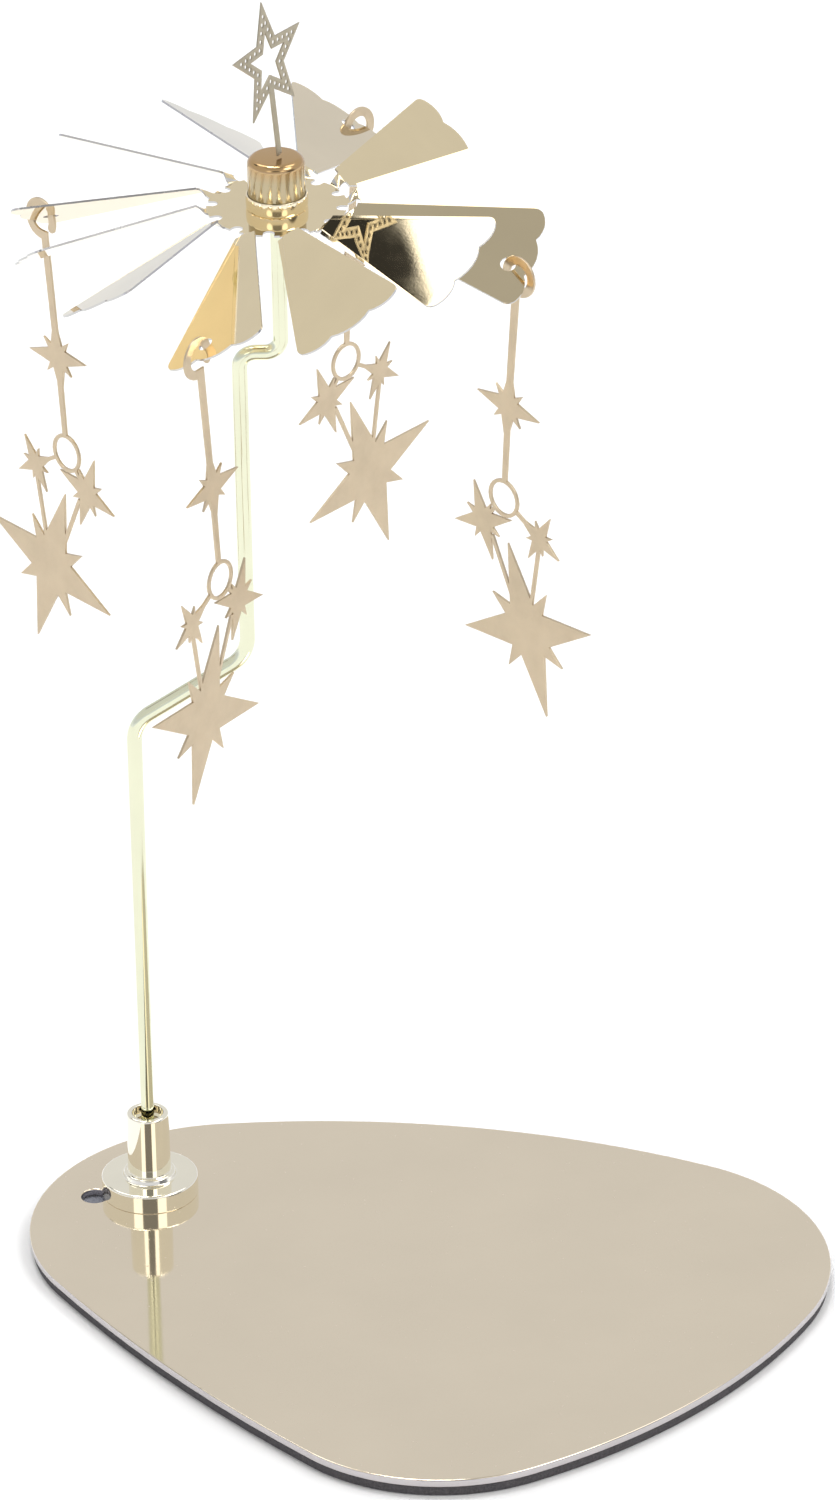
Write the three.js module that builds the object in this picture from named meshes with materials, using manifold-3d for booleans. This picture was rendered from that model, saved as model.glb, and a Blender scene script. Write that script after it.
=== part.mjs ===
// A candle carousel: a rounded plate on a foam pad, a bent rod that stands in a flanged post,
// and a twelve bladed rotor that spins on the rod's needle with four star pendants on its blades.
// Millimetres, +Z up. The origin is on the underside of the pad, straight below the rotor's axis.
import * as THREE from "three";
import { mergeVertices } from "three/addons/utils/BufferGeometryUtils.js";
import Module from "manifold-3d";

const wasm = await Module();
wasm.setup();

// Clearances shared by all pieces
const overrun = 1; // how far a cut runs past the face it opens
const weld = 0.0001; // vertices nearer than this are one vertex
const restGap = 0.3; // between a piece and the seat that it only rests on
const pressGap = 0.1; // between pieces that are pushed together
const runningGap = 0.1; // round a piece that turns in a bore

// Plate and pad
const plateThickness = 1.6;
const plateEdge = 0.3; // rounding of the plate's edges
const padThickness = 2.1;
const padInset = 0.5; // the pad stays this far inside the plate's outline
const backCornerRadius = 39.8;
const rightCornerRadius = 42.6;
const frontCornerRadius = 36.1;
const backSideRadius = 179;
const rightSideRadius = 128;
const leftSideRadius = 358;
const backCornerSpot = { x: 16.1, y: -13.9 }; // centres of the corner arcs, from the post
const rightCornerSpot = { x: 91.2, y: -32.5 };
const frontCornerSpot = { x: 57.6, y: -75 };
const plateHoleRadius = 2.65;
const plateHoleSpot = { x: -11, y: -1.9 };

// Post, screwed to the plate from below
const flangeRadius = 9.6;
const flangeHeight = 3.9;
const flangeEdge = 0.5;
const collarRadius = 5.3;
const collarHeight = 1;
const postRadius = 4.2;
const postHeight = 17.9;
const postEdge = 0.5;
const mouthRadius = 3.1;
const mouthDepth = 2.2;
const socketDepth = 8.9; // from the floor of the mouth to the floor under the rod
const bushRadius = 2.5;
const screwRadius = 1.4;
const screwReach = 5; // how far the screw goes into the post
const screwHeadRadius = 2.8;
const screwHeadHeight = 1.3;
const screwSlotWidth = 0.7;
const screwSlotDepth = 0.6;
const washerRadius = 4.2;
const washerThickness = 0.6;
const padHoleMargin = 1; // between the washer and the wall of the pad's hole

// Rod: up, out along a slope, up, a short level jog, and up to the needle
const rodRadius = 1.5;
const elbowHeight = 105; // lower end of the slope, above the plate
const elbowRise = 14.4;
const elbowShift = 22.5;
const elbowRadius = 7;
const jogDrop = 30.5; // below the rotor sheet
const jogLength = 8;
const jogRadius = 3;
const needleRadius = 0.7;
const needleDepth = 5; // how far the needle is set into the rod
const needlePoint = 3; // length of its cone
const rodTopRise = 3; // rod's top above the rotor sheet

// Rotor sheet
const rotorHeight = 214.7; // above the plate
const sheetThickness = 0.4;
const discRadius = 13.4;
const notchRadius = 1.1; // round ends of the slots in the disc's edge, between the necks
const notchReach = 12.4; // from the axis to the centre of such an end
const notchTurn = -8; // degrees, from the middle between the tips of two blades
const bladeSweep = 4.9; // how far a blade's foot stands back from the direction of its tip
const neckOffset = 2.85; // middle of the neck, towards the raised edge of the blade
const neckHalfWidth = 1.1;
const neckLength = 2;
const neckFillet = 0.4;
const shoulderHalfWidth = 2.25;
const bladeRadius = 49.7; // circle on which the lobes stand
const bladeHalfWidth = 11.2;
const lobeHalfWidth = 4.2; // middle lobe of the three
const lobeRise = 1.3;
const bladeCorner = 2; // rounding of the outer corners
const bladePitch = 31; // degrees
const bladeDroops = [4, 4.7, 4.2, 10, -5.5, 3.2, 12, 4.7, 5.4, 10.4, 3.6, 5.3]; // degrees
const firstBlade = 76; // degrees, direction of the first blade that carries a pendant
const pendantEvery = 3; // every third blade carries a pendant
const hookHoleRadius = 1.5;
const hookHoleInset = 3.7; // hole's centre to the lobes' circle
const hookHoleOffset = 2.3; // towards the lower edge of the blade

// Cap, its bead, its bearing and the ring that holds it to the sheet
const capRadius = 5.5;
const capHeight = 10.3;
const capWall = 0.5;
const capEdge = 1.5;
const beadHeight = 2.8;
const beadBulge = 0.35;
const neckRadius = 3.9;
const neckDrop = 1.9; // neck of the cap below the sheet
const ringThickness = 1.2;
const ringWidth = 1.3;
const bearingRadius = 2.4;
const bearingHeight = 3;
const bearingPit = 1.6;

// Finial
const finialThickness = 0.35;
const finialReach = 12;
const finialWaistShare = 0.43; // notches of the star, as a share of its reach
const finialWindowShare = 0.5; // star shaped window
const finialBandShare = 0.76; // star line on which the small holes lie
const finialHoles = 4; // along each edge of that line
const finialHoleRadius = 0.42;
const finialHeight = 18.8; // centre of the star above the cap
const finialTurn = 57; // degrees, direction in which the star's plane runs
const finialLean = 6; // degrees
const stemWidth = 1.4;
const footLength = 2.6;
const footSpot = { x: 0.7, y: -0.4 };

// Pendants, cut from one sheet
const pendantThickness = 0.5;
const starReach = 17.7; // long arm of the large star
const shortArmShare = 0.6;
const notchShare = 0.345;
const notchSpread = 13; // degrees between a short arm and the notches beside it
const largeStarShares = { x: 0.332, y: -1.481, reach: 1, turn: 16 };
const innerStarShares = { x: -0.321, y: -0.368, reach: 0.458, turn: 17 };
const outerStarShares = { x: 0.53, y: -0.306, reach: 0.34, turn: 60 };
const stemStarShares = { x: 0.09, y: 1.136, reach: 0.47, turn: -6 };
const outerLinkShares = [
  { x: 0.534, y: -0.36 },
  { x: 0.395, y: -1.16 },
];
const innerLinkShares = [
  { x: -0.19, y: -0.5 },
  { x: 0.1, y: -1.14 },
];
const linkWidth = 0.8;
const haloRadius = 4; // ring between the stars
const haloWidth = 0.75;
const hangerTop = { x: 4.1, y: 45 }; // top of the hanger, from the centre of the halo
const hangerWidth = 1.8;
const hangerFootWidth = 1.2;
const hookRadius = 3.3; // middle line of the hook
const hookEnd = 202; // degrees, where the hook's short side ends
const hookCrossing = 152; // degrees, where the hook goes through its hole
const hookOffset = 0.9; // hook's centre beyond the top of the hanger
const pendantTurns = [30, 32, 21, 34]; // degrees that each loose hook has turned from its blade

// Roundness
const sidesOfWire = 16;
const sidesOfTurned = 48;
const sidesOfSmall = 20;
const sidesOfHole = 8;
const stepsOfBend = 6;
const stepsOfArc = 6;
const stepsOfPendant = 12;

// Worked out from the sizes above
const bladeCount = bladeDroops.length;
const plateBottom = padThickness;
const plateTop = plateBottom + plateThickness;
const rotorReach = elbowShift + jogLength;
const hookHoleReach = bladeRadius - hookHoleInset;
const rotorLevel = plateTop + rotorHeight;
const socketFloor = postHeight - mouthDepth - socketDepth;
const bushBore = bushRadius + pressGap;
const capUnderside = sheetThickness / 2;
const capTop = capUnderside + capHeight;
const hookWidth = hangerWidth;

const metal = (color, roughness) =>
  new THREE.MeshStandardMaterial({ color, roughness, metalness: 1 });
const materials = {
  plate: metal(0xd6c6ae, 0.14),
  bright: metal(0xeee6bc, 0.12),
  cap: metal(0xd8b070, 0.12),
  blade: metal(0xd2c29c, 0.1),
  etched: metal(0xdccba6, 0.35),
  steel: metal(0xb9bcc0, 0.3),
  foam: new THREE.MeshStandardMaterial({ color: 0x24262c, roughness: 0.95, metalness: 0 }),
};

const radians = THREE.MathUtils.degToRad;

// A closed geometry as a solid that can be joined and cut.
function solidOf(geometry) {
  const bare = new THREE.BufferGeometry();
  bare.setAttribute("position", geometry.getAttribute("position"));
  if (geometry.index) bare.setIndex(geometry.index);
  const merged = mergeVertices(bare, weld);
  const corners = Array.from(merged.index.array);
  const kept = [];
  for (let i = 0; i < corners.length; i += 3) {
    const [a, b, c] = corners.slice(i, i + 3);
    if (a !== b && b !== c && c !== a) kept.push(a, b, c);
  }
  return new wasm.Manifold(
    new wasm.Mesh({
      numProp: 3,
      vertProperties: merged.getAttribute("position").array,
      triVerts: new Uint32Array(kept),
    }),
  );
}

function geometryOf(solid) {
  const mesh = solid.getMesh();
  const geometry = new THREE.BufferGeometry();
  geometry.setAttribute("position", new THREE.BufferAttribute(mesh.vertProperties, 3));
  geometry.setIndex(new THREE.BufferAttribute(mesh.triVerts, 1));
  geometry.computeVertexNormals();
  return geometry;
}

const joined = (solids) => solids.reduce((all, next) => all.add(next));

function piece(name, solid, material) {
  const mesh = new THREE.Mesh(geometryOf(solid), material);
  mesh.name = name;
  return mesh;
}

// A turned solid about +Z from a closed outline of [radius, height] points, listed with the
// material on the left hand.
function turned(points, sides = sidesOfTurned) {
  const outline = points.map(([radius, height]) => new THREE.Vector2(radius, height));
  outline.push(outline[0].clone());
  const geometry = new THREE.LatheGeometry(outline, sides);
  return solidOf(geometry.rotateX(Math.PI / 2));
}

function rod(radius, bottom, top, sides = sidesOfSmall) {
  return turned(
    [
      [0, bottom],
      [radius, bottom],
      [radius, top],
      [0, top],
    ],
    sides,
  );
}

// Points of a quarter or other arc in a turned outline, from one angle to another in degrees.
function arcPoints(radius, height, size, from, to, steps = stepsOfArc) {
  const points = [];
  for (let i = 0; i <= steps; i += 1) {
    const angle = radians(from + ((to - from) * i) / steps);
    points.push([radius + size * Math.cos(angle), height + size * Math.sin(angle)]);
  }
  return points;
}

function slab(shape, bottom, thickness, steps = stepsOfArc) {
  const geometry = new THREE.ExtrudeGeometry(shape, {
    depth: thickness,
    bevelEnabled: false,
    curveSegments: steps,
  });
  return solidOf(geometry.translate(0, 0, bottom));
}

function circle(x, y, radius) {
  return new THREE.Path().absarc(x, y, radius, 0, 2 * Math.PI, false);
}

// Centre of the side arc that touches two corner arcs from outside, on the plate's inner side.
function sideCentre(from, to, radius) {
  const reachFrom = radius - from.radius;
  const reachTo = radius - to.radius;
  const span = to.centre.clone().sub(from.centre);
  const length = span.length();
  const along = (reachFrom ** 2 - reachTo ** 2 + length ** 2) / (2 * length);
  const across = Math.sqrt(reachFrom ** 2 - along ** 2);
  const unit = span.divideScalar(length);
  return new THREE.Vector2(
    from.centre.x + unit.x * along + unit.y * across,
    from.centre.y + unit.y * along - unit.x * across,
  );
}

// The rounded triangle of the plate, clockwise seen from above, drawn in by an inset.
function plateShape(inset) {
  const corners = [
    { centre: new THREE.Vector2(backCornerSpot.x, backCornerSpot.y), radius: backCornerRadius },
    { centre: new THREE.Vector2(rightCornerSpot.x, rightCornerSpot.y), radius: rightCornerRadius },
    { centre: new THREE.Vector2(frontCornerSpot.x, frontCornerSpot.y), radius: frontCornerRadius },
  ];
  const sideRadii = [backSideRadius, rightSideRadius, leftSideRadius];
  const next = (i) => corners[(i + 1) % corners.length];
  const sides = corners.map((corner, i) => sideCentre(corner, next(i), sideRadii[i]));
  const direction = (from, to) => Math.atan2(to.y - from.y, to.x - from.x);
  const shape = new THREE.Shape();
  corners.forEach((corner, i) => {
    const before = sides[(i + sides.length - 1) % sides.length];
    const start = direction(before, corner.centre);
    const turn = direction(sides[i], corner.centre);
    const end = direction(sides[i], next(i).centre);
    shape.absarc(corner.centre.x, corner.centre.y, corner.radius - inset, start, turn, true);
    shape.absarc(sides[i].x, sides[i].y, sideRadii[i] - inset, turn, end, true);
  });
  return shape;
}

function makePlate() {
  const shape = plateShape(0);
  shape.holes.push(circle(plateHoleSpot.x, plateHoleSpot.y, plateHoleRadius));
  shape.holes.push(circle(0, 0, screwRadius + runningGap));
  const geometry = new THREE.ExtrudeGeometry(shape, {
    depth: plateThickness - 2 * plateEdge,
    bevelEnabled: true,
    bevelThickness: plateEdge,
    bevelSize: plateEdge,
    bevelOffset: -plateEdge,
    bevelSegments: 2,
    curveSegments: stepsOfArc,
  });
  const solid = solidOf(geometry.translate(0, 0, plateBottom + plateEdge));
  return piece("base_plate", solid, materials.plate);
}

function makePad() {
  const shape = plateShape(padInset);
  shape.holes.push(circle(0, 0, washerRadius + padHoleMargin));
  return piece("base_pad", slab(shape, 0, padThickness), materials.foam);
}

function makeSocket() {
  const mouthFloor = postHeight - mouthDepth;
  const screwHole = screwReach + restGap;
  const solid = turned([
    [0, screwHole],
    [screwRadius + runningGap, screwHole],
    [screwRadius + runningGap, 0],
    [flangeRadius, 0],
    ...arcPoints(flangeRadius - flangeEdge, flangeHeight - flangeEdge, flangeEdge, 0, 90),
    [collarRadius, flangeHeight],
    [collarRadius, flangeHeight + collarHeight],
    [postRadius, flangeHeight + collarHeight],
    ...arcPoints(postRadius - postEdge, postHeight - postEdge, postEdge, 0, 90),
    [mouthRadius, postHeight],
    [mouthRadius, mouthFloor],
    [bushBore, mouthFloor],
    [bushBore, socketFloor],
    [0, socketFloor],
  ]);
  return piece("hub_socket", solid.translate(0, 0, plateTop), materials.bright);
}

function makeBush() {
  const bottom = plateTop + socketFloor + restGap;
  const top = plateTop + postHeight - mouthDepth;
  const bore = rodRadius + runningGap;
  const solid = turned([
    [bore, bottom],
    [bushRadius, bottom],
    [bushRadius, top],
    [bore, top],
  ]);
  return piece("rod_bush", solid, materials.cap);
}

function makeWasher() {
  const bore = screwRadius + runningGap;
  const solid = turned([
    [bore, plateBottom - washerThickness],
    [washerRadius, plateBottom - washerThickness],
    [washerRadius, plateBottom],
    [bore, plateBottom],
  ]);
  return piece("hub_washer", solid, materials.steel);
}

function makeScrew() {
  const headTop = plateBottom - washerThickness;
  const headBottom = headTop - screwHeadHeight;
  const body = turned([
    [0, headBottom],
    [screwHeadRadius, headBottom],
    [screwHeadRadius, headTop],
    [screwRadius, headTop],
    [screwRadius, plateTop + screwReach],
    [0, plateTop + screwReach],
  ]);
  const slot = [0, 90].map((angle) =>
    solidOf(
      new THREE.BoxGeometry(screwHeadRadius, screwSlotWidth, 2 * screwSlotDepth)
        .rotateZ(radians(angle))
        .translate(0, 0, headBottom),
    ),
  );
  return piece("hub_screw", body.subtract(joined(slot)), materials.steel);
}

// The rod's middle line, a flat path of straights and arcs whose rings lie only where it bends.
class BentLine extends THREE.Curve {
  constructor(points, radii) {
    super();
    this.stops = [];
    points.forEach((point, i) => {
      const before = points[i - 1];
      const after = points[i + 1];
      if (!before || !after) {
        const along = before ? point.clone().sub(before) : after.clone().sub(point);
        this.stops.push({ point, tangent: along.normalize() });
        return;
      }
      this.addBend(point, before, after, radii[i - 1]);
    });
  }

  addBend(point, before, after, radius) {
    const into = point.clone().sub(before).normalize();
    const out = after.clone().sub(point).normalize();
    const turn = into.angleTo(out);
    const setback = radius * Math.tan(turn / 2);
    const inward = out.clone().sub(into).normalize();
    const centre = point.clone().addScaledVector(inward, Math.hypot(radius, setback));
    const start = point.clone().addScaledVector(into, -setback).sub(centre);
    const normal = into.clone().cross(out).normalize();
    for (let i = 0; i <= stepsOfBend; i += 1) {
      const angle = (turn * i) / stepsOfBend;
      this.stops.push({
        point: centre.clone().add(start.clone().applyAxisAngle(normal, angle)),
        tangent: into.clone().applyAxisAngle(normal, angle),
      });
    }
  }

  stopAt(share) {
    return this.stops[Math.round(share * (this.stops.length - 1))];
  }

  getPointAt(share) {
    return this.stopAt(share).point.clone();
  }

  getTangentAt(share) {
    return this.stopAt(share).tangent.clone();
  }
}

function makeRod() {
  const bottom = plateTop + socketFloor + restGap;
  const top = rotorLevel + rodTopRise;
  const points = [
    new THREE.Vector3(0, 0, bottom),
    new THREE.Vector3(0, 0, plateTop + elbowHeight),
    new THREE.Vector3(elbowShift, 0, plateTop + elbowHeight + elbowRise),
    new THREE.Vector3(elbowShift, 0, rotorLevel - jogDrop),
    new THREE.Vector3(rotorReach, 0, rotorLevel - jogDrop),
    new THREE.Vector3(rotorReach, 0, top),
  ];
  const line = new BentLine(points, [elbowRadius, elbowRadius, jogRadius, jogRadius]);
  const section = new THREE.Shape();
  for (let i = 0; i < sidesOfWire; i += 1) {
    const angle = (2 * Math.PI * i) / sidesOfWire;
    const corner = [rodRadius * Math.cos(angle), rodRadius * Math.sin(angle)];
    if (i) section.lineTo(...corner);
    else section.moveTo(...corner);
  }
  const wire = solidOf(
    new THREE.ExtrudeGeometry(section, { steps: line.stops.length - 1, extrudePath: line }),
  );
  const bore = rod(needleRadius + pressGap, top - needleDepth - restGap, top + overrun);
  return piece("bent_rod", wire.subtract(bore.translate(rotorReach, 0, 0)), materials.bright);
}

function makeNeedle() {
  const rodTop = rotorLevel + rodTopRise;
  const tip = rotorLevel + capTop - capWall - bearingHeight + bearingPit - restGap;
  const solid = turned(
    [
      [0, rodTop - needleDepth],
      [needleRadius, rodTop - needleDepth],
      [needleRadius, tip - needlePoint],
      [0, tip],
    ],
    sidesOfSmall,
  );
  return piece("pivot_needle", solid.translate(rotorReach, 0, 0), materials.steel);
}

// A point of the flat blade, out along its middle line and across it, pitched, bent down and
// swept back towards its foot.
function bladePoint(out, across, up, droopDegrees) {
  const share = THREE.MathUtils.clamp((out - discRadius) / neckLength, 0, 1);
  const ease = share * share * (3 - 2 * share);
  const pitch = radians(bladePitch) * ease;
  const droop = radians(droopDegrees) * ease;
  const beyond = Math.max(out - discRadius, 0);
  const sweep = (bladeSweep * (bladeRadius - out)) / (bladeRadius - discRadius);
  const side = across * Math.cos(pitch) - up * Math.sin(pitch) - sweep;
  const lift = across * Math.sin(pitch) + up * Math.cos(pitch);
  return new THREE.Vector3(
    Math.min(out, discRadius) + beyond * Math.cos(droop) + lift * Math.sin(droop),
    side,
    lift * Math.cos(droop) - beyond * Math.sin(droop),
  );
}

// The arc of a lobe that stands on the chord between two points of the blade's edge.
function lobeArc(from, to) {
  const half = from.distanceTo(to) / 2;
  const radius = (half ** 2 + lobeRise ** 2) / (2 * lobeRise);
  const middle = from.clone().add(to).divideScalar(2);
  const inward = new THREE.Vector2(to.y - from.y, from.x - to.x).normalize();
  if (inward.x > 0) inward.negate();
  return { centre: middle.addScaledVector(inward, radius - lobeRise), radius };
}

// Points of an arc about a centre between the directions of two points.
function arcBetween(centre, radius, from, to) {
  const start = Math.atan2(from.y - centre.y, from.x - centre.x);
  const end = Math.atan2(to.y - centre.y, to.x - centre.x);
  const points = [];
  for (let i = 0; i <= stepsOfArc; i += 1) {
    const angle = start + ((end - start) * i) / stepsOfArc;
    points.push([centre.x + radius * Math.cos(angle), centre.y + radius * Math.sin(angle)]);
  }
  return points;
}

// One side of the blade's outline, from the disc to the middle lobe: neck, shoulder, straight
// side, rounded corner and outer lobe.
function bladeSide(neckMiddle) {
  const root = discRadius + neckLength;
  const neckSide = neckMiddle + neckHalfWidth;
  const points = [];
  for (let i = 0; i < stepsOfBend; i += 1) {
    points.push([discRadius + ((neckLength - neckFillet) * i) / stepsOfBend, neckSide]);
  }
  const fillet = new THREE.Vector2(root - neckFillet, neckSide + neckFillet);
  points.push(
    ...arcBetween(fillet, neckFillet, { x: fillet.x, y: neckSide }, { x: root, y: fillet.y }),
  );
  const onCircle = (across) =>
    new THREE.Vector2(Math.sqrt(bladeRadius ** 2 - across ** 2), across);
  const shoulder = new THREE.Vector2(root, neckMiddle + shoulderHalfWidth);
  const corner = onCircle(bladeHalfWidth);
  const notch = onCircle(lobeHalfWidth);
  const lobe = lobeArc(corner, notch);
  const along = corner.clone().sub(shoulder).normalize();
  const inward = new THREE.Vector2(along.y, -along.x);
  const reach = lobe.radius - bladeCorner;
  const start = shoulder.clone().addScaledVector(inward, bladeCorner).sub(lobe.centre);
  const half = start.dot(along);
  const travel = -half + Math.sqrt(half ** 2 - start.lengthSq() + reach ** 2);
  const centre = start.addScaledVector(along, travel).add(lobe.centre);
  const touch = centre.clone().addScaledVector(inward, -bladeCorner);
  const meet = centre.clone().sub(lobe.centre).setLength(lobe.radius).add(lobe.centre);
  points.push([shoulder.x, shoulder.y]);
  points.push(...arcBetween(centre, bladeCorner, touch, meet));
  points.push(...arcBetween(lobe.centre, lobe.radius, meet, notch).slice(1));
  return points;
}

function bladeOutline() {
  const inside = discRadius - overrun;
  const side = bladeSide(neckOffset);
  const mirrored = bladeSide(-neckOffset).map(([out, across]) => [out, -across]);
  const upper = new THREE.Vector2(...side[side.length - 1]);
  const lower = new THREE.Vector2(upper.x, -upper.y);
  const lobe = lobeArc(upper, lower);
  const middle = arcBetween(lobe.centre, lobe.radius, lower, upper).slice(1, -1);
  const ends = [
    [inside, neckOffset + neckHalfWidth],
    [inside, neckOffset - neckHalfWidth],
  ];
  return [...mirrored, ...middle, ...side.reverse(), ...ends];
}

function makeBlade(droop) {
  const shape = new THREE.Shape(bladeOutline().map(([x, y]) => new THREE.Vector2(x, y)));
  const geometry = new THREE.ExtrudeGeometry(shape, { depth: sheetThickness, bevelEnabled: false });
  geometry.translate(0, 0, -sheetThickness / 2);
  const position = geometry.getAttribute("position");
  for (let i = 0; i < position.count; i += 1) {
    const bent = bladePoint(position.getX(i), position.getY(i), position.getZ(i), droop);
    position.setXYZ(i, bent.x, bent.y, bent.z);
  }
  return solidOf(geometry);
}

function makeHookHole(droop) {
  const out = hookHoleReach;
  const lower = bladePoint(out, -hookHoleOffset, -overrun, droop);
  const upper = bladePoint(out, -hookHoleOffset, overrun, droop);
  const along = upper.clone().sub(lower);
  const drill = new THREE.CylinderGeometry(
    hookHoleRadius,
    hookHoleRadius,
    along.length(),
    sidesOfWire,
  );
  const up = new THREE.Vector3(0, 1, 0);
  drill.applyQuaternion(new THREE.Quaternion().setFromUnitVectors(up, along.normalize()));
  const middle = lower.add(upper).divideScalar(2);
  return solidOf(drill.translate(middle.x, middle.y, middle.z));
}

function makeRotor() {
  const turn = (i) => firstBlade - (360 * i) / bladeCount;
  const blades = bladeDroops.map((droop, i) => {
    const blade = makeBlade(droop);
    const holed = i % pendantEvery ? blade : blade.subtract(makeHookHole(droop));
    return holed.rotate(0, 0, turn(i));
  });
  const disc = turned([
    [neckRadius + pressGap, -sheetThickness / 2],
    [discRadius, -sheetThickness / 2],
    [discRadius, sheetThickness / 2],
    [neckRadius + pressGap, sheetThickness / 2],
  ]);
  const end = rod(notchRadius, -overrun, overrun, sidesOfWire);
  const slot = solidOf(new THREE.BoxGeometry(notchReach, 2 * notchRadius, 2 * overrun));
  const notch = end.add(slot.translate(notchReach / 2, 0, 0)).translate(notchReach, 0, 0);
  const notches = bladeDroops.map((droop, i) => notch.rotate(0, 0, turn(i + 1 / 2) + notchTurn));
  const sheet = disc.subtract(joined(notches));
  return piece("rotor", joined([sheet, ...blades]), materials.blade);
}

function makeCap() {
  const inner = capRadius - capWall;
  const solid = turned([
    [neckRadius - capWall, -capUnderside - neckDrop],
    [neckRadius, -capUnderside - neckDrop],
    [neckRadius, capUnderside],
    [capRadius, capUnderside],
    ...arcPoints(capRadius - capEdge, capTop - capEdge, capEdge, 0, 90),
    [0, capTop],
    [0, capTop - capWall],
    ...arcPoints(capRadius - capEdge, capTop - capEdge, capEdge - capWall, 90, 0, stepsOfBend),
    [inner, capUnderside + capWall],
    [neckRadius - capWall, capUnderside + capWall],
  ]);
  return piece("rotor_cap", solid, materials.cap);
}

function makeBead() {
  const wall = capRadius + pressGap;
  const points = [[wall, capUnderside]];
  for (let i = 0; i <= 2 * stepsOfArc; i += 1) {
    const angle = Math.PI * (i / (2 * stepsOfArc) - 1 / 2);
    const height = capUnderside + (beadHeight * (1 + Math.sin(angle))) / 2;
    points.push([wall + beadBulge * (1 / 2 + Math.cos(angle) / 2), height]);
  }
  points.push([wall, capUnderside + beadHeight]);
  return piece("cap_bead", turned(points), materials.cap);
}

function makeRing() {
  const wall = neckRadius + pressGap;
  const solid = turned([
    [wall, -capUnderside - ringThickness],
    [wall + ringWidth, -capUnderside - ringThickness],
    [wall + ringWidth, -capUnderside],
    [wall, -capUnderside],
  ]);
  return piece("retaining_ring", solid, materials.steel);
}

function makeBearing() {
  const top = capTop - capWall;
  const solid = turned(
    [
      [0, top - bearingHeight + bearingPit],
      [bearingPit, top - bearingHeight],
      [bearingRadius, top - bearingHeight],
      [bearingRadius, top],
      [0, top],
    ],
    sidesOfSmall,
  );
  return piece("pivot_bearing", solid, materials.steel);
}

// Corners of a five pointed star, tip first, from the top and clockwise.
function fivePoints(reach, waist) {
  const corners = [];
  for (let i = 0; i < 10; i += 1) {
    const angle = radians(90 - 36 * i);
    const size = i % 2 ? waist : reach;
    corners.push(new THREE.Vector2(size * Math.cos(angle), size * Math.sin(angle)));
  }
  return corners;
}

function makeFinial() {
  const star = (share) => fivePoints(share * finialReach, share * finialReach * finialWaistShare);
  const drill = rod(finialHoleRadius, -overrun, overrun, sidesOfHole);
  const cuts = [slab(new THREE.Shape(star(finialWindowShare)), -overrun, 2 * overrun)];
  const band = star(finialBandShare);
  band.forEach((corner, i) => {
    const next = band[(i + 1) % band.length];
    for (let k = 0; k < finialHoles; k += 1) {
      const spot = corner.clone().lerp(next, k / finialHoles);
      cuts.push(drill.translate(spot.x, spot.y, 0));
    }
  });
  const blank = slab(new THREE.Shape(star(1)), -finialThickness / 2, finialThickness);
  const plate = blank.subtract(joined(cuts));
  const stemTop = -finialReach * finialWaistShare + finialThickness;
  const stem = new THREE.BoxGeometry(stemWidth, stemTop + finialHeight, finialThickness);
  stem.translate(0, (stemTop - finialHeight) / 2, 0);
  const upright = plate
    .add(solidOf(stem))
    .translate(0, finialHeight, 0)
    .rotate(90 - finialLean, 0, 0)
    .translate(0, 0, finialThickness / 2);
  const foot = new THREE.BoxGeometry(stemWidth, footLength, finialThickness);
  foot.translate(0, footLength / 2 - finialThickness, finialThickness / 2);
  const solid = upright.add(solidOf(foot)).rotate(0, 0, finialTurn);
  const mesh = piece("star_finial", solid, materials.etched);
  mesh.position.set(footSpot.x, footSpot.y, capTop + restGap);
  return mesh;
}

// A star of four long and four short arms, placed and sized in shares of the large star's reach.
function eightPoints({ x, y, reach, turn }) {
  const size = reach * starReach;
  const corners = [];
  const add = (angle, share) =>
    corners.push(
      new THREE.Vector2(
        x * starReach + size * share * Math.cos(radians(angle)),
        y * starReach + size * share * Math.sin(radians(angle)),
      ),
    );
  for (let i = 0; i < 4; i += 1) {
    const long = turn + 90 * i;
    const short = long + 45;
    add(long, 1);
    add(short - notchSpread, notchShare);
    add(short, shortArmShare);
    add(short + notchSpread, notchShare);
  }
  return new THREE.Shape(corners);
}

// A flat strip between two points, with its own width at each end.
function strip(from, to, fromWidth, toWidth = fromWidth) {
  const along = to.clone().sub(from).normalize();
  const side = new THREE.Vector2(-along.y, along.x);
  return new THREE.Shape([
    from.clone().addScaledVector(side, -fromWidth / 2),
    to.clone().addScaledVector(side, -toWidth / 2),
    to.clone().addScaledVector(side, toWidth / 2),
    from.clone().addScaledVector(side, fromWidth / 2),
  ]);
}

function hookShape(centre) {
  const shape = new THREE.Shape();
  const end = radians(hookEnd);
  const start = -Math.PI / 2;
  shape.absarc(centre.x, centre.y, hookRadius + hookWidth / 2, start, end, false);
  const tip = centre
    .clone()
    .add(new THREE.Vector2(Math.cos(end), Math.sin(end)).multiplyScalar(hookRadius));
  shape.absarc(tip.x, tip.y, hookWidth / 2, end, end + Math.PI, false);
  shape.absarc(centre.x, centre.y, hookRadius - hookWidth / 2, end, start, true);
  return shape;
}

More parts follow.
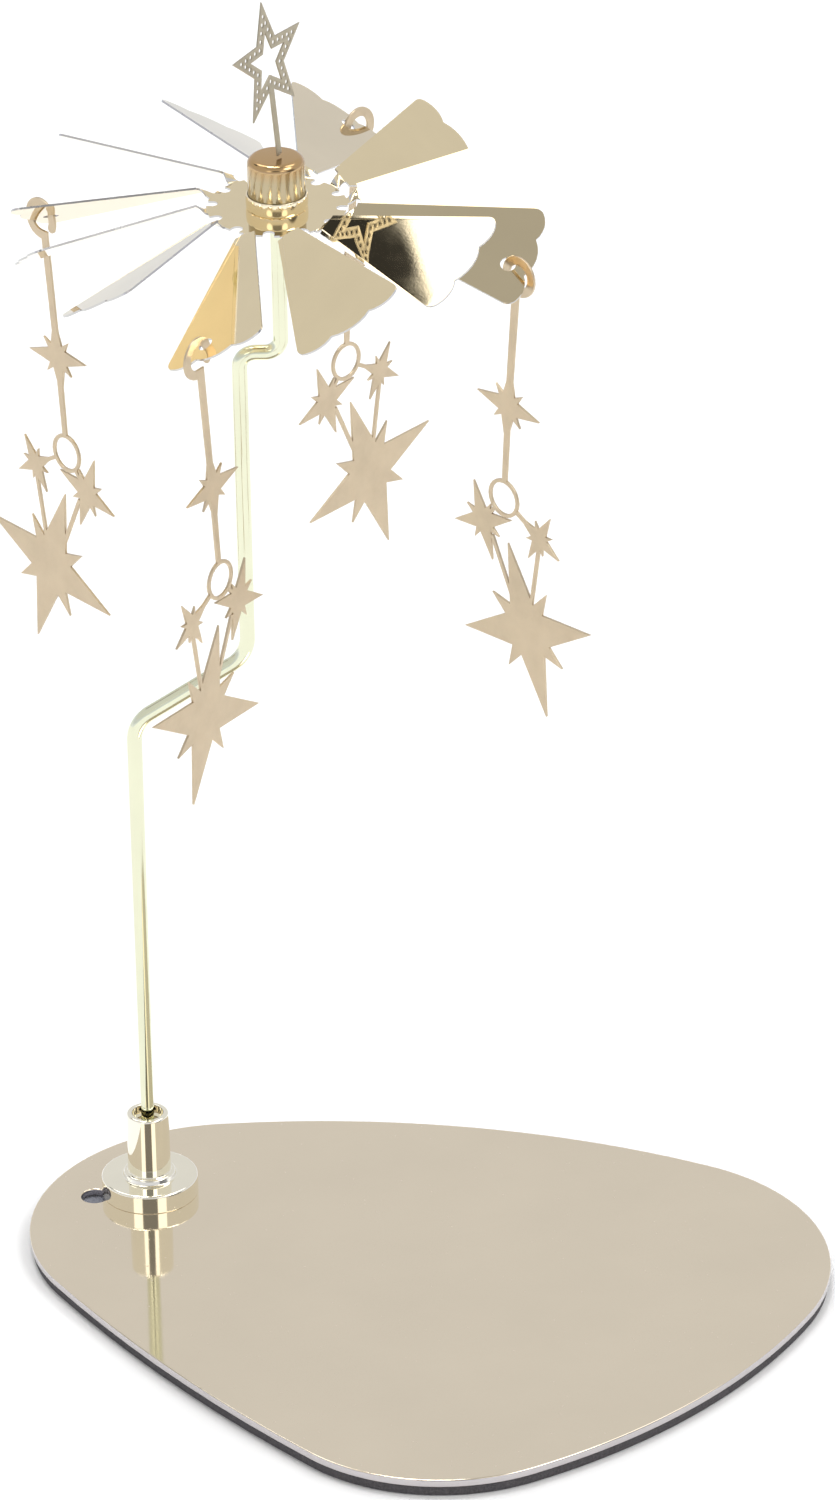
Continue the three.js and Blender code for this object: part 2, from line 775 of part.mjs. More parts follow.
// The pendant's sheet in its own plane: x outward, y up, about the centre of its hook.
function makePendant() {
  const inShares = ({ x, y }) => new THREE.Vector2(x, y).multiplyScalar(starReach);
  const top = new THREE.Vector2(hangerTop.x, hangerTop.y);
  const knot = inShares(stemStarShares);
  const haloTop = knot.clone().setLength(haloRadius - haloWidth / 2);
  const centre = new THREE.Vector2(top.x + hookOffset, top.y + hookRadius);
  const knotWidth = (hangerWidth + hangerFootWidth) / 2;
  const halo = new THREE.Shape().absarc(0, 0, haloRadius, 0, 2 * Math.PI, false);
  halo.holes.push(circle(0, 0, haloRadius - haloWidth));
  const bridges = [innerStarShares, outerStarShares].map(inShares).map((spot) => {
    const onHalo = spot.clone().setLength(haloRadius - haloWidth / 2);
    return strip(onHalo, spot, linkWidth);
  });
  const kink = new THREE.Vector2(centre.x, centre.y - hookRadius);
  const kinkStart = new THREE.Vector2(top.x - hangerWidth / 2, kink.y);
  const shapes = [
    halo,
    ...[largeStarShares, innerStarShares, outerStarShares, stemStarShares].map(eightPoints),
    strip(...outerLinkShares.map(inShares), linkWidth),
    strip(...innerLinkShares.map(inShares), linkWidth),
    ...bridges,
    strip(haloTop, knot, hangerFootWidth, knotWidth),
    strip(knot, top, knotWidth, hangerWidth),
    strip(kinkStart, kink, hangerWidth),
    hookShape(centre),
  ];
  const cut = (shape) => slab(shape, -pendantThickness / 2, pendantThickness, stepsOfPendant);
  const solid = joined(shapes.map(cut));
  return solid.translate(-centre.x, -centre.y, 0);
}

// Where a hook's centre hangs in the rotor's frame, for a blade along +X.
function hookCentre(direction, droop) {
  const hole = bladePoint(hookHoleReach, -hookHoleOffset, 0, droop);
  const across = hookRadius * Math.cos(radians(hookCrossing));
  hole.x -= across * Math.cos(direction);
  hole.y -= across * Math.sin(direction);
  hole.z -= hookRadius * Math.sin(radians(hookCrossing));
  return hole;
}

function addPendants(rotor) {
  const solid = makePendant();
  pendantTurns.forEach((degrees, i) => {
    const blade = radians(firstBlade - (360 * i * pendantEvery) / bladeCount);
    const turn = radians(degrees);
    const centre = hookCentre(-turn, bladeDroops[i * pendantEvery]);
    const spot = centre.applyAxisAngle(new THREE.Vector3(0, 0, 1), blade);
    const hanger = new THREE.Group();
    hanger.position.copy(spot);
    hanger.rotation.set(Math.PI / 2, 0, blade - turn, "ZYX");
    hanger.add(piece("pendant_" + (i + 1), solid, materials.etched));
    rotor.add(hanger);
  });
}

const base = new THREE.Group();
base.position.x = -rotorReach;
base.add(makePlate(), makePad(), makeSocket(), makeBush(), makeWasher(), makeScrew());
base.add(makeRod(), makeNeedle());

const rotor = new THREE.Group();
rotor.position.z = rotorLevel;
rotor.add(makeRotor(), makeCap(), makeBead(), makeRing(), makeBearing(), makeFinial());
addPendants(rotor);

const carousel = new THREE.Group();
carousel.add(base, rotor);

export default carousel;
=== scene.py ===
"""Looks of the candle carousel: polished plate and blades, a bent wire, etched star pendants."""

import math

import bmesh
import bpy
from mathutils import Matrix, Vector


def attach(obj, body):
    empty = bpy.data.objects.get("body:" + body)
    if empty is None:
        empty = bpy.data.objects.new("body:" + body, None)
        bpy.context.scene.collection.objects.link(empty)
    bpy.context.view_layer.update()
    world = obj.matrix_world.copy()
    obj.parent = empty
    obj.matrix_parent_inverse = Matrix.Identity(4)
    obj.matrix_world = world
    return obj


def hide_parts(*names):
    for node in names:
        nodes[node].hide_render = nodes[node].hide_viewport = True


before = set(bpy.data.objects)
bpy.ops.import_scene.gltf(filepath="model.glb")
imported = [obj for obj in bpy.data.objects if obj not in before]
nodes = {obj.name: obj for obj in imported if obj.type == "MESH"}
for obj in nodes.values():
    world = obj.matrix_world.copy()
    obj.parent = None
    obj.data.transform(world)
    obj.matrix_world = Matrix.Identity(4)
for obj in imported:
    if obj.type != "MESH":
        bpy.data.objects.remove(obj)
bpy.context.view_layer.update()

MM = 0.001
QUARTER = math.pi / 2
FULL_TURN = 2 * math.pi

# The CAD's sizes that the finer pieces repeat, in millimetres
PAD_THICKNESS = 2.1
PAD_INSET = 0.5
PAD_EDGE = 0.3
WASHER_HOLE = 5.2
PLATE_THICKNESS = 1.6
PLATE_EDGE = 0.3
PLATE_TOP = PAD_THICKNESS + PLATE_THICKNESS
PLATE_HOLE = (-11.0, -1.9, 2.65)  # centre from the post, radius
CORNERS = [  # centre from the post, radius
    (16.1, -13.9, 39.8),
    (91.2, -32.5, 42.6),
    (57.6, -75.0, 36.1),
]
SIDE_RADII = [179.0, 128.0, 358.0]
POST_X = -30.5
SCREW_HOLE = 1.5
MOUTH_FLOOR = 15.7
ROD_SEAT = 7.1
ROD_RADIUS = 1.5
ROD_END_EDGE = 0.25
ROD_BOTTOM = PLATE_TOP + ROD_SEAT
ELBOW_Z = PLATE_TOP + 105.0
ELBOW_RISE = 14.4
ELBOW_SHIFT = 22.5
ELBOW_RADIUS = 7.0
JOG_RADIUS = 3.0
ROTOR_Z = PLATE_TOP + 214.7
JOG_Z = ROTOR_Z - 30.5
ROD_TOP = ROTOR_Z + 3.0
HALF_SHEET = 0.2
BEAD_BORE = 5.6
BEAD_MIDDLE = 1.6
BEAD_HALF_HEIGHT = 1.4
BEAD_HALF_BULGE = 0.175
PENDANTS = 4

# Outlines of the turned pieces: radius, height, rounding
POST_OUTLINE = [  # heights from the plate's top
    (0, 5.3, 0),  # bore of the screw
    (SCREW_HOLE, 5.3, 0),
    (SCREW_HOLE, 0, 0),
    (9.6, 0, 0.15),  # flange
    (9.6, 3.9, 0.5),
    (5.35, 3.9, 0.25),  # collar
    (5.05, 4.9, 0.45),
    (4.3, 5.0, 0.2),  # post
    (4.15, 17.9, 0.45),
    (3.1, 17.9, 0.15),  # mouth
    (3.1, MOUTH_FLOOR, 0),
    (2.6, MOUTH_FLOOR, 0),  # socket of the bush
    (2.6, 6.8, 0),
    (0, 6.8, 0),
]
BUSH_OUTLINE = [
    (1.6, ROD_SEAT, 0),
    (2.5, ROD_SEAT, 0),
    (2.5, MOUTH_FLOOR, 0.15),
    (1.6, MOUTH_FLOOR, 0.15),
]
CAP_OUTLINE = [  # heights from the middle of the rotor sheet
    (3.4, -2.1, 0),  # neck
    (3.9, -2.1, 0.15),
    (3.9, HALF_SHEET, 0),
    (5.5, HALF_SHEET, 0),  # side and shoulder
    (5.5, 10.5, 1.5),
    (0, 10.5, 0),
    (0, 10.0, 0),  # inside
    (5.0, 10.0, 1.0),
    (5.0, 0.7, 0),
    (3.4, 0.7, 0),
]

# Fineness of the made pieces
ARC_STEP = math.radians(1.5)  # along the plate's outline
CORNER_STEP = math.radians(12)  # round the small corners of a turned outline
BEND_STEP = math.radians(4)  # along a bend of the rod
LEAST_ARC_STEPS = 2
LEAST_CORNER_STEPS = 3
LEAST_BEND_STEPS = 6
TURNED_SIDES = 128
TUBE_SIDES = 48
HOLE_SIDES = 48
SMALL_HOLE_SIDES = 16
BEAD_STEPS = 16
END_STEPS = 4  # of the rounding at a wire's end
PLATE_EDGE_STEPS = 3
PAD_EDGE_STEPS = 2
SHEET_EDGE_STEPS = 2
SHEET_EDGE = 0.06  # rounding of the cut edges of the finial and the pendants
SMOOTH_ANGLE = math.radians(32)
FLAT_WEIGHT = 80  # how much the large faces rule the shading beside a rounded edge

# How the CAD's meshes are read
WELD = 0.000002  # metres, vertices nearer than this are one vertex
ON_AXIS = 0.000001  # millimetres, a radius below this lies on the axis
SAME_LEVEL = 0.02  # millimetres, a vertex within this of a face's level lies on that level
DOUBLE = 0.01  # millimetres, a point nearer than this to the one before it is dropped
STRAIGHT = math.radians(0.6)  # a turn below this isn't a corner
SMALL_HOLE = 0.5  # reach of a hole, below which it is made round
ROUNDISH = 0.8  # smallest reach of a round hole as a share of its largest
FACES_DOWN = -0.999
SHARP_LIMIT = 3.0  # the larger, the further the point of a sharp corner moves with its edges

# Heights of a face's normal
UPRIGHT = 0.3  # a face below it stands upright
ON_EDGE = 0.65  # the same for the cut edges of the pitched blades
LEVEL = 0.9  # a face above it lies level

# Heights between which the cap turns to its deeper gold
CROWN_FROM = ROTOR_Z + 7.0
CROWN_TO = ROTOR_Z + 9.8

# Floor, in metres, with two tones for its clouds near the part and two far behind it
FLOOR_SIZE = 12
FLOOR_Z = -0.0001
FLOOR_NEAR = ((0.94, 0.94, 0.94), (0.97, 0.97, 0.97))
FLOOR_FAR = ((0.545, 0.58, 0.645), (0.555, 0.59, 0.655))
FLOOR_CLOUDS = (0.3, 0.7)
FLOOR_FADE = (0.5, 1.1)  # distances behind the rotor's axis over which it turns to the far tones

# Surroundings, by the direction that is looked in, whose height is the sine of its elevation
HORIZON = (-0.05, 0.16)  # heights over which the light fades
BELOW_AND_ABOVE = (1.1, 0.75)  # strengths of light below and above the horizon
DARKEST = 0.03
PATCHES = [  # direction, cosines of the angles to its rim and its core, change of strength
    ((0, 0, 1), 0.8, 0.97, -0.26),  # less light overhead
    ((-0.1, 0.24, 0.965), 0.982, 0.989, 10.0),  # main panel, small and strong
    ((0.44, 0.25, 0.87), 0.972, 0.985, 1.8),  # panel that the right blade mirrors
    ((0.58, -0.3, 0.76), 0.972, 0.985, 4.5),  # panel on the right
    ((0.42, -0.757, 0.5), 0.984, 0.991, 0.9),  # two panels on the camera's side
    ((-0.42, -0.757, 0.5), 0.984, 0.991, 0.9),
    ((0.85, -0.5, 0.1), 0.93, 0.975, -0.6),  # dark patch low on the right
    ((-0.3513, 0.4214, 0.8361), 0.98426, 0.98466, 2.0),  # white in the front right blade
    ((-0.6219, 0.3813, 0.6841), 0.99027, 0.99075, -0.71),  # dark beside it
]
BAR = ((0, -0.866, 0.5), 0.957, 0.972, -0.5)  # dark patch on the camera's side
BAR_FOOT = (0.38, 0.44)  # heights over which it begins
TINT = (0.97, 1.0, 1.12, 1)  # colour near the horizon
WHITE = (1, 1, 1, 1)
TINT_TOP = (0.2, 0.33)  # heights over which the tint turns to white

# Camera, from the fit of the photograph
LENS = 252.0
SENSOR = 36.0
CLIP_END = 50
CAMERA_AT = (24.41, -1801.87, 1059.48)
CAMERA_DOWN = math.radians(28.0)
CAMERA_ROLL = math.radians(-1.2)


# Meshes


def vec(x, y, z=0.0):
    """A point in metres from millimetres."""
    return Vector((x, y, z)) * MM


def sharpen(mesh):
    """Smooth shading that breaks where two faces meet at a sharp angle."""
    work = bmesh.new()
    work.from_mesh(mesh)
    for face in work.faces:
        face.smooth = True
    for edge in work.edges:
        edge.smooth = len(edge.link_faces) == 2 and edge.calc_face_angle(0) < SMOOTH_ANGLE
    work.to_mesh(mesh)
    work.free()


def add_piece(name, mesh, body, replaced, look):
    """A visible piece on a body of the mechanism, in place of a CAD node.

    It is shaded so that flat faces stay flat beside rounded edges.
    """
    sharpen(mesh)
    piece = bpy.data.objects.new(name, mesh)
    bpy.context.scene.collection.objects.link(piece)
    weighted = piece.modifiers.new("weighted", "WEIGHTED_NORMAL")
    weighted.mode = "FACE_AREA"
    weighted.weight = FLAT_WEIGHT
    weighted.keep_sharp = True
    graph = bpy.context.evaluated_depsgraph_get()
    piece.data = bpy.data.meshes.new_from_object(piece.evaluated_get(graph))
    piece.data.name = name
    piece.modifiers.clear()
    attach(piece, body)
    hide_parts(replaced)
    paint(piece, look)
    return piece


def mesh_from(name, points, faces):
    mesh = bpy.data.meshes.new(name)
    mesh.from_pydata([tuple(p) for p in points], [], faces)
    mesh.update()
    return mesh


def rounded(outline):
    """Points of an outline whose corners (x, y, radius) are rounded."""
    points = []
    count = len(outline)
    for i, (x, y, radius) in enumerate(outline):
        corner = Vector((x, y))
        if radius <= 0:
            points.append(corner)
            continue
        before = (Vector(outline[i - 1][:2]) - corner).normalized()
        after = (Vector(outline[(i + 1) % count][:2]) - corner).normalized()
        half = before.angle(after) / 2
        centre = corner + (before + after).normalized() * (radius / math.sin(half))
        start = corner + before * (radius / math.tan(half)) - centre
        end = corner + after * (radius / math.tan(half)) - centre
        turn = start.angle_signed(end)
        steps = max(LEAST_CORNER_STEPS, round(abs(turn) / CORNER_STEP))
        for k in range(steps + 1):
            points.append(centre + Matrix.Rotation(-turn * k / steps, 2) @ start)
    return points


def turned(name, outline, x, z):
    """A solid of revolution about a vertical axis, from a closed outline."""
    profile = rounded(outline)
    points = []
    rings = []
    for p in profile:
        if p.x < ON_AXIS:
            rings.append([len(points)])
            points.append(vec(x, 0, z + p.y))
            continue
        ring = []
        for k in range(TURNED_SIDES):
            a = FULL_TURN * k / TURNED_SIDES
            ring.append(len(points))
            points.append(vec(x + p.x * math.cos(a), p.x * math.sin(a), z + p.y))
        rings.append(ring)
    faces = []
    for i, ring in enumerate(rings):
        other = rings[(i + 1) % len(rings)]
        for k in range(TURNED_SIDES):
            a, b = ring[k % len(ring)], ring[(k + 1) % len(ring)]
            c, d = other[(k + 1) % len(other)], other[k % len(other)]
            corners = list(dict.fromkeys((a, b, c, d)))
            if len(corners) > 2:
                faces.append(corners)
    return mesh_from(name, points, faces)


def plate_outline(inset):
    """Points of the plate's rounded triangle about the post, clockwise seen from above."""
    corners = [(Vector(c[:2]), c[2]) for c in CORNERS]
    centres = []
    for i, radius in enumerate(SIDE_RADII):
        (start, r0), (end, r1) = corners[i], corners[(i + 1) % 3]
        a, b = radius - r0, radius - r1
        span = end - start
        length = span.length
        along = (a * a - b * b + length * length) / (2 * length)
        across = math.sqrt(a * a - along * along)
        unit = span / length
        centres.append(start + unit * along + Vector((unit.y, -unit.x)) * across)

    def arc(centre, radius, start, end):
        first = math.atan2(start.y, start.x)
        turn = (first - math.atan2(end.y, end.x)) % FULL_TURN
        count = max(LEAST_ARC_STEPS, round(turn / ARC_STEP))
        angles = [first - turn * k / count for k in range(count)]
        return [centre + Vector((math.cos(a), math.sin(a))) * radius for a in angles]

    points = []
    for i, (centre, radius) in enumerate(corners):
        side, before = centres[i], centres[i - 1]
        following = corners[(i + 1) % 3][0]
        points += arc(centre, radius - inset, centre - before, centre - side)
        points += arc(side, SIDE_RADII[i] - inset, centre - side, following - side)
    return points


def circle(x, y, radius, count=HOLE_SIDES):
    angles = [FULL_TURN * k / count for k in range(count)]
    return [Vector((x + radius * math.cos(a), y + radius * math.sin(a))) for a in angles]


def inset_loop(loop, amount):
    """The loop moved to its material's side, with the shift of very sharp corners limited."""
    moved = []
    for i, p in enumerate(loop):
        into = (p - loop[i - 1]).normalized()
        out = (loop[(i + 1) % len(loop)] - p).normalized()
        sides = Vector((into.y + out.y, -into.x - out.x))
        size = max(sides.length_squared / 2, 2 / SHARP_LIMIT)
        moved.append(p + sides * (amount / size))
    return moved


def signed_area(loop):
    """Area inside a loop, positive where the loop runs anticlockwise."""
    return sum(p.cross(q) for p, q in zip(loop, loop[1:] + loop[:1])) / 2


def extruded(name, loops, bottom, thickness, edge, steps):
    """A flat piece with rounded edges from an outline, given first, and its holes."""
    work = bmesh.new()
    rounding = [QUARTER * k / steps for k in range(steps + 1)]
    levels = [(angle, False) for angle in rounding] + [(angle, True) for angle in rounding[::-1]]
    caps = [[], []]
    for i, loop in enumerate(loops):
        if (signed_area(loop) > 0) == (i == 0):
            loop = loop[::-1]
        rings = []
        for angle, upper in levels:
            ring = inset_loop(loop, edge * (1 - math.sin(angle)))
            rise = edge * (1 - math.cos(angle))
            z = bottom + (thickness - rise if upper else rise)
            rings.append([work.verts.new(vec(q.x, q.y, z)) for q in ring])
        for low, high in zip(rings, rings[1:]):
            for k in range(len(loop)):
                n = (k + 1) % len(loop)
                work.faces.new((low[k], low[n], high[n], high[k]))
        for cap, ring in zip(caps, (rings[0], rings[-1])):
            cap += [work.edges.get((ring[k - 1], ring[k])) for k in range(len(ring))]
    for cap in caps:
        bmesh.ops.triangle_fill(work, edges=cap, use_beauty=True)
    bmesh.ops.recalc_face_normals(work, faces=work.faces)
    mesh = bpy.data.meshes.new(name)
    work.to_mesh(mesh)
    work.free()
    return mesh


def bent_path(corners, radii):
    """Points and directions along straight runs joined by arcs, in millimetres."""
    path = [(corners[0], (corners[1] - corners[0]).normalized())]
    for before, corner, after, radius in zip(corners, corners[1:], corners[2:], radii):
        into = (corner - before).normalized()
        out = (after - corner).normalized()
        turn = into.angle(out)
        setback = radius * math.tan(turn / 2)
        centre = corner + (out - into).normalized() * math.hypot(radius, setback)
        start = corner - into * setback - centre
        axis = into.cross(out).normalized()
        steps = max(LEAST_BEND_STEPS, round(turn / BEND_STEP))
        for k in range(steps + 1):
            spin = Matrix.Rotation(turn * k / steps, 3, axis)
            path.append((centre + spin @ start, spin @ into))
    path.append((corners[-1], (corners[-1] - corners[-2]).normalized()))
    return path


def tube(name, path, radius, end_edge):
    """A round wire along a path in the X-Z plane, with worked ends."""
    side = Vector((0, 1, 0))
    first_spot, first_way = path[0]
    last_spot, last_way = path[-1]
    rounding = [QUARTER * k / END_STEPS for k in range(END_STEPS + 1)]
    stations = []
    # A known fault, kept as it is: these rings shrink upwards, where they should grow
    for angle in rounding[::-1]:
        sunk = end_edge * (1 - math.sin(angle))
        stations.append((first_spot + first_way * sunk, first_way, radius - sunk))
    stations += [(spot, way, radius) for spot, way in path[1:-1]]
    for angle in rounding:
        sunk = end_edge * (1 - math.sin(angle))
        size = radius - end_edge * (1 - math.cos(angle))
        stations.append((last_spot - last_way * sunk, last_way, size))
    points, faces = [], []
    for spot, way, size in stations:
        up = way.cross(side).normalized()
        for k in range(TUBE_SIDES):
            a = FULL_TURN * k / TUBE_SIDES
            points.append((spot + (up * math.cos(a) + side * math.sin(a)) * size) * MM)
    end_ring = (len(stations) - 1) * TUBE_SIDES
    for low in range(0, end_ring, TUBE_SIDES):
        high = low + TUBE_SIDES
        for k in range(TUBE_SIDES):
            n = (k + 1) % TUBE_SIDES
            faces.append((low + k, low + n, high + n, high + k))
    faces.append(tuple(reversed(range(TUBE_SIDES))))
    faces.append(tuple(range(end_ring, end_ring + TUBE_SIDES)))
    mesh = mesh_from(name, points, faces)
    work = bmesh.new()
    work.from_mesh(mesh)
    bmesh.ops.recalc_face_normals(work, faces=work.faces)
    work.to_mesh(mesh)
    work.free()
    return mesh


def copied(name, node):
    """The solid of a CAD node, free to be painted and shaded."""
    mesh = nodes[node].data.copy()
    mesh.name = name
    mesh.materials.clear()
    work = bmesh.new()
    work.from_mesh(mesh)
    bmesh.ops.remove_doubles(work, verts=work.verts, dist=WELD)
    work.to_mesh(mesh)
    work.free()
    return mesh


def loops_of(edges):
    """Closed chains of vertices from a set of boundary edges."""
    following = {}
    for edge in edges:
        for vertex in edge.verts:
            following.setdefault(vertex, []).append(edge)
    left = set(edges)
    loops = []
    while left:
        edge = min(left, key=lambda e: e.index)
        vertex = edge.verts[0]
        loop = []
        while edge in left:
            left.remove(edge)
            loop.append(vertex)
            vertex = edge.other_vert(vertex)
            edge = next((e for e in following[vertex] if e in left), edge)
        loops.append(loop)
    return loops


def straightened(points):
    """A loop without the points that lie on straight runs."""
    apart = [p for i, p in enumerate(points) if (p - points[i - 1]).length > DOUBLE]
    kept = []
    for i, p in enumerate(apart):
        into = p - apart[i - 1]
        out = apart[(i + 1) % len(apart)] - p
        if into.angle(out) > STRAIGHT:
            kept.append(p)
    return kept


def cut_sheet(name, node):
    """The flat sheet of a CAD node again, with its cut edges rounded and small holes made round."""
    work = bmesh.new()
    work.from_mesh(nodes[node].data)
    bmesh.ops.remove_doubles(work, verts=work.verts, dist=WELD)
    widest = max(work.faces, key=lambda f: f.calc_area())
    normal = widest.normal.copy()
    level = widest.calc_center_median().dot(normal)
    on_top = {v for v in work.verts if abs(v.co.dot(normal) - level) < SAME_LEVEL * MM}
    top = {f for f in work.faces if on_top.issuperset(f.verts)}
    below = {v for f in work.faces if f.normal.dot(normal) < FACES_DOWN for v in f.verts}
    under = min(v.co.dot(normal) for v in below)
    rim = [e for e in work.edges if len([f for f in e.link_faces if f in top]) == 1]
    across = Vector((0, 0, 1)).cross(normal).normalized()
    up = normal.cross(across)
    loops = []
    for loop in loops_of(rim):
        points = [Vector((v.co.dot(across), v.co.dot(up))) / MM for v in loop]
        centre = sum(points, Vector((0, 0))) / len(points)
        reaches = [(p - centre).length for p in points]
        reach = max(reaches)
        small = reach < SMALL_HOLE and min(reaches) > ROUNDISH * reach
        loops.append(circle(*centre, reach, SMALL_HOLE_SIDES) if small else straightened(points))
    work.free()
    loops.sort(key=lambda loop: -abs(signed_area(loop)))
    thickness = (level - under) / MM
    mesh = extruded(name, loops, 0, thickness, SHEET_EDGE, SHEET_EDGE_STEPS)
    frame_of_sheet = Matrix((across, up, normal)).transposed().to_4x4()
    mesh.transform(Matrix.Translation(normal * under) @ frame_of_sheet)
    return mesh


# Node trees


def tinted(color, factor):
    return tuple(min(1.0, c * factor) for c in color)


class Tree:
    """A node tree and short ways to build it."""

    MIX_SHARE, MIX_FIRST, MIX_SECOND = 0, 6, 7  # sockets of a mix node that mixes colours
    MIX_RESULT = 2

    def __init__(self, tree):
        self.tree = tree

    def add(self, kind, **settings):
        node = self.tree.nodes.new(kind)
        for key, value in settings.items():
            setattr(node, key, value)
        return node

    def feed(self, socket, value):
        """Links another socket to this one, or puts a number, a vector or a colour on it."""
        if isinstance(value, bpy.types.NodeSocket):
            self.tree.links.new(value, socket)
        else:
            socket.default_value = value

    def math(self, operation, a, b):
        node = self.add("ShaderNodeMath", operation=operation)
        self.feed(node.inputs[0], a)
        self.feed(node.inputs[1], b)
        return node.outputs[0]

    def ramp(self, value, spread, result=(0.0, 1.0), kind="LINEAR"):
        """A value carried over from one range to another."""
        node = self.add("ShaderNodeMapRange", interpolation_type=kind)
        self.feed(node.inputs["Value"], value)
        for name, number in zip(("From Min", "From Max", "To Min", "To Max"), (*spread, *result)):
            self.feed(node.inputs[name], number)
        return node.outputs["Result"]

    def smooth(self, value, spread, result=(0.0, 1.0)):
        """The same with soft ends."""
        return self.ramp(value, spread, result, "SMOOTHSTEP")

    def coordinate(self, vector, axis):
        node = self.add("ShaderNodeSeparateXYZ")
        self.feed(node.inputs["Vector"], vector)
        return node.outputs[axis]

    def mixed(self, share, color, other):
        node = self.add("ShaderNodeMix", data_type="RGBA")
        self.feed(node.inputs[self.MIX_SHARE], share)
        self.feed(node.inputs[self.MIX_FIRST], color)
        self.feed(node.inputs[self.MIX_SECOND], other)
        return node.outputs[self.MIX_RESULT]


class Shader(Tree):
    """A node material around one Principled shader. Its lengths are in metres."""

    def __init__(self, name, color, roughness, metallic):
        self.material = bpy.data.materials.new(name)
        self.material.use_nodes = True
        super().__init__(self.material.node_tree)
        self.shader = self.tree.nodes["Principled BSDF"]
        self.set("Base Color", (*color, 1))
        self.set("Roughness", roughness)
        self.set("Metallic", metallic)
        self.coordinates = self.add("ShaderNodeTexCoord").outputs["Object"]

    def set(self, name, value):
        self.feed(self.shader.inputs[name], value)

    def noise(self, scale, detail, rough, coordinates=None):
        node = self.add("ShaderNodeTexNoise")
        self.feed(node.inputs["Scale"], scale)
        self.feed(node.inputs["Detail"], detail)
        self.feed(node.inputs["Roughness"], rough)
        self.feed(node.inputs["Vector"], coordinates or self.coordinates)
        return node.outputs["Fac"]

    def lines(self, scale, detail, rough, z_scale):
        """Noise drawn out along Z by a small scale on that axis."""
        mapping = self.add("ShaderNodeMapping")
        self.feed(mapping.inputs["Scale"], (1, 1, z_scale))
        self.feed(mapping.inputs["Vector"], self.coordinates)
        return self.noise(scale, detail, rough, mapping.outputs["Vector"])

    def spots(self, scale, size, softness):
        """1 in sparse round spots, 0 between them."""
        node = self.add("ShaderNodeTexVoronoi")
        self.feed(node.inputs["Scale"], scale)
        self.feed(node.inputs["Randomness"], 1.0)
        self.feed(node.inputs["Vector"], self.coordinates)
        return self.ramp(node.outputs["Distance"], (size, size + softness), (1, 0))

    def colors(self, value, *stops):
        ramp = self.add("ShaderNodeValToRGB")
        elements = ramp.color_ramp.elements
        while len(elements) < len(stops):
            elements.new(0.5)
        for element, (position, color) in zip(elements, stops):
            element.position = position
            element.color = (*color, 1)
        self.feed(ramp.inputs["Fac"], value)
        return ramp.outputs["Color"]

    def cloudy(self, base, scale, spread, darker, lighter):
        """The base colour with a slight unevenness."""
        cloud = self.noise(scale, detail=3, rough=0.6)
        low, high = spread
        return self.colors(cloud, (low, tinted(base, darker)), (high, tinted(base, lighter)))

    def bump(self, height, distance, strength, normal=None):
        node = self.add("ShaderNodeBump")
        self.feed(node.inputs["Distance"], distance)
        self.feed(node.inputs["Strength"], strength)
        self.feed(node.inputs["Height"], height)
        if normal is not None:
            self.feed(node.inputs["Normal"], normal)
        self.set("Normal", node.outputs["Normal"])
        return node.outputs["Normal"]


class Surroundings(Tree):
    """The world's node tree."""

    def __init__(self, name):
        world = bpy.data.worlds.new(name)
        bpy.context.scene.world = world
        world.use_nodes = True
        super().__init__(world.node_tree)
        self.direction = self.add("ShaderNodeTexCoord").outputs["Generated"]

    def facing(self, toward):
        """Cosine of the angle between the looked at direction and another one."""
        node = self.add("ShaderNodeVectorMath", operation="DOT_PRODUCT")
        self.feed(node.inputs[0], self.direction)
        self.feed(node.inputs[1], Vector(toward).normalized())
        return node.outputs["Value"]

    def patch(self, toward, rim, core, change):
        """A round patch of more or less light."""
        return self.smooth(self.facing(toward), (rim, core), (0.0, change))


# Materials


def plate_metal():
    """Champagne mirror with a faint grain, sparse specks and very shallow waves."""
    base = (0.83, 0.735, 0.59)
    s = Shader("plate_metal", base, roughness=0.07, metallic=1.0)
    s.set("Base Color", s.cloudy(base, 38, (0.25, 0.75), darker=0.975, lighter=1.02))
    grain = s.noise(5200, detail=2, rough=0.7)
    haze = s.noise(60, detail=4, rough=0.65)
    specks = s.spots(420, size=0.05, softness=0.05)
    rough = s.ramp(haze, (0.35, 0.7), (0.045, 0.085))
    s.set("Roughness", s.math("ADD", rough, s.math("MULTIPLY", specks, 0.25)))
    waves = s.bump(s.noise(14, detail=1, rough=0.4), distance=0.00004, strength=0.2)
    fine = s.math("ADD", s.math("MULTIPLY", grain, 0.5), specks)
    s.bump(fine, distance=0.0000035, strength=0.5, normal=waves)
    return s.material


def polished(name, base, rough=(0.03, 0.07), wave=0.00002, wave_scale=35, crown=None):
    """Polished metal with slight waves, hairlines and a little haze, and where asked a deeper crown."""
    s = Shader(name, base, roughness=0.05, metallic=1.0)
    color = s.cloudy(base, 55, (0.3, 0.7), darker=0.97, lighter=1.02)
    if crown:
        top = s.cloudy(crown, 55, (0.3, 0.7), darker=0.97, lighter=1.02)
        share = s.ramp(s.coordinate(s.coordinates, "Z"), (CROWN_FROM * MM, CROWN_TO * MM))
        color = s.mixed(share, color, top)
    s.set("Base Color", color)
    haze = s.noise(90, detail=4, rough=0.6)
    s.set("Roughness", s.ramp(haze, (0.35, 0.7), rough))
    waves = s.bump(s.noise(wave_scale, detail=1, rough=0.4), distance=wave, strength=0.3)
    hairs = s.noise(1800, detail=2, rough=0.5)
    s.bump(hairs, distance=0.0000006, strength=0.3, normal=waves)
    return s.material


